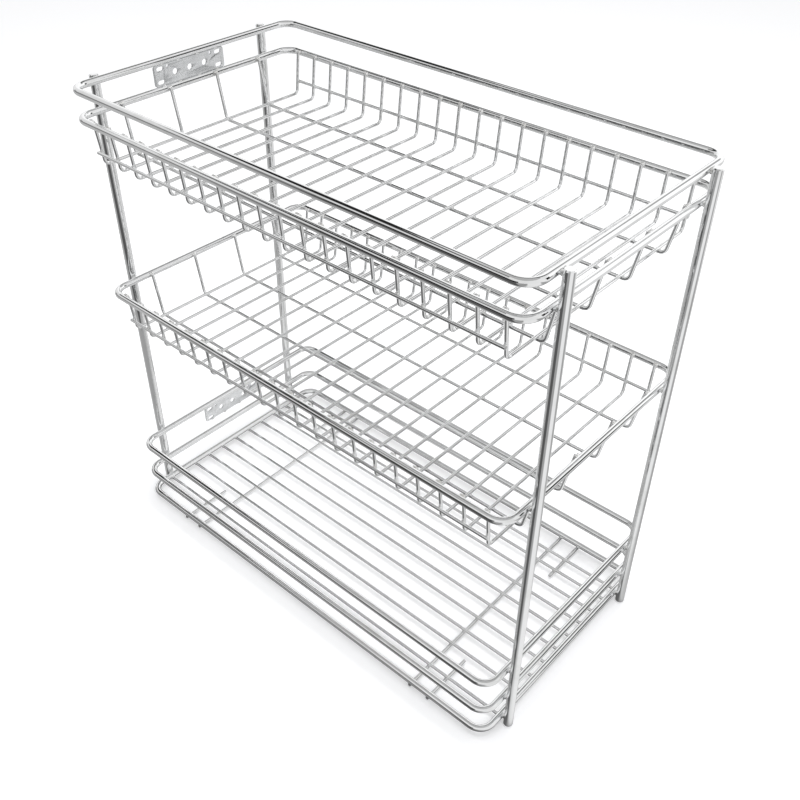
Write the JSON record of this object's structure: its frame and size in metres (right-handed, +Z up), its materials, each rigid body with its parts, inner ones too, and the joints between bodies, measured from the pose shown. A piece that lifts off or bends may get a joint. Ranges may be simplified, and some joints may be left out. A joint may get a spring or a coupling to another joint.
{
  "type": "pull-out cabinet basket",
  "caption": "Tall welded wire pull-out for a narrow base cabinet, with two hanging baskets over a railed tray, corner posts and punched plates for the door front.",
  "frame": {"origin": "middle of the frame, on the plane of the four posts' feet", "axes": "+Z up, +Y towards the back of the cabinet, so the door end is at -Y, +X to the right as seen from the door"},
  "size_m": [0.238, 0.462, 0.439],
  "materials": {
    "post_rod": "bright polished chrome on drawn steel rod",
    "ring_rod": "bright polished chrome on bent steel rod",
    "basket_wire": "bright chrome on thin steel wire",
    "tray_wire": "bright chrome on thin steel wire",
    "plate_steel": "chromed punched sheet, a little softer than the wire"
  },
  "bodies": {
    "root": {"front_left_post": "post_rod", "front_right_post": "post_rod", "rear_left_post": "post_rod", "rear_right_post": "post_rod", "guard_ring": "ring_rod", "top_basket_rim": "ring_rod", "middle_basket_rim": "ring_rod", "tray_upper_ring": "ring_rod", "tray_middle_ring": "ring_rod", "tray_base_ring": "ring_rod", "top_basket_cross_wires": "basket_wire", "top_basket_long_wire_1": "basket_wire", "top_basket_long_wire_2": "basket_wire", "top_basket_long_wire_3": "basket_wire", "top_basket_long_wire_4": "basket_wire", "top_basket_left_side_wire": "basket_wire", "top_basket_right_side_wire": "basket_wire", "middle_basket_cross_wires": "basket_wire", "middle_basket_long_wire_1": "basket_wire", "middle_basket_long_wire_2": "basket_wire", "middle_basket_long_wire_3": "basket_wire", "middle_basket_long_wire_4": "basket_wire", "middle_basket_left_side_wire": "basket_wire", "middle_basket_right_side_wire": "basket_wire", "tray_floor_wire_1": "tray_wire", "tray_floor_wire_2": "tray_wire", "tray_floor_wire_3": "tray_wire", "tray_floor_wire_4": "tray_wire", "tray_floor_wire_5": "tray_wire", "tray_floor_wire_6": "tray_wire", "tray_floor_wire_7": "tray_wire", "tray_floor_wire_8": "tray_wire", "tray_floor_wire_9": "tray_wire", "tray_floor_wire_10": "tray_wire", "tray_front_cross_wire": "tray_wire", "tray_rear_cross_wire": "tray_wire", "front_left_seat_wire": "tray_wire", "front_right_seat_wire": "tray_wire", "rear_left_seat_wire": "tray_wire", "rear_right_seat_wire": "tray_wire", "upper_door_plate": "plate_steel", "lower_door_plate": "plate_steel"}
  },
  "joints": []
}
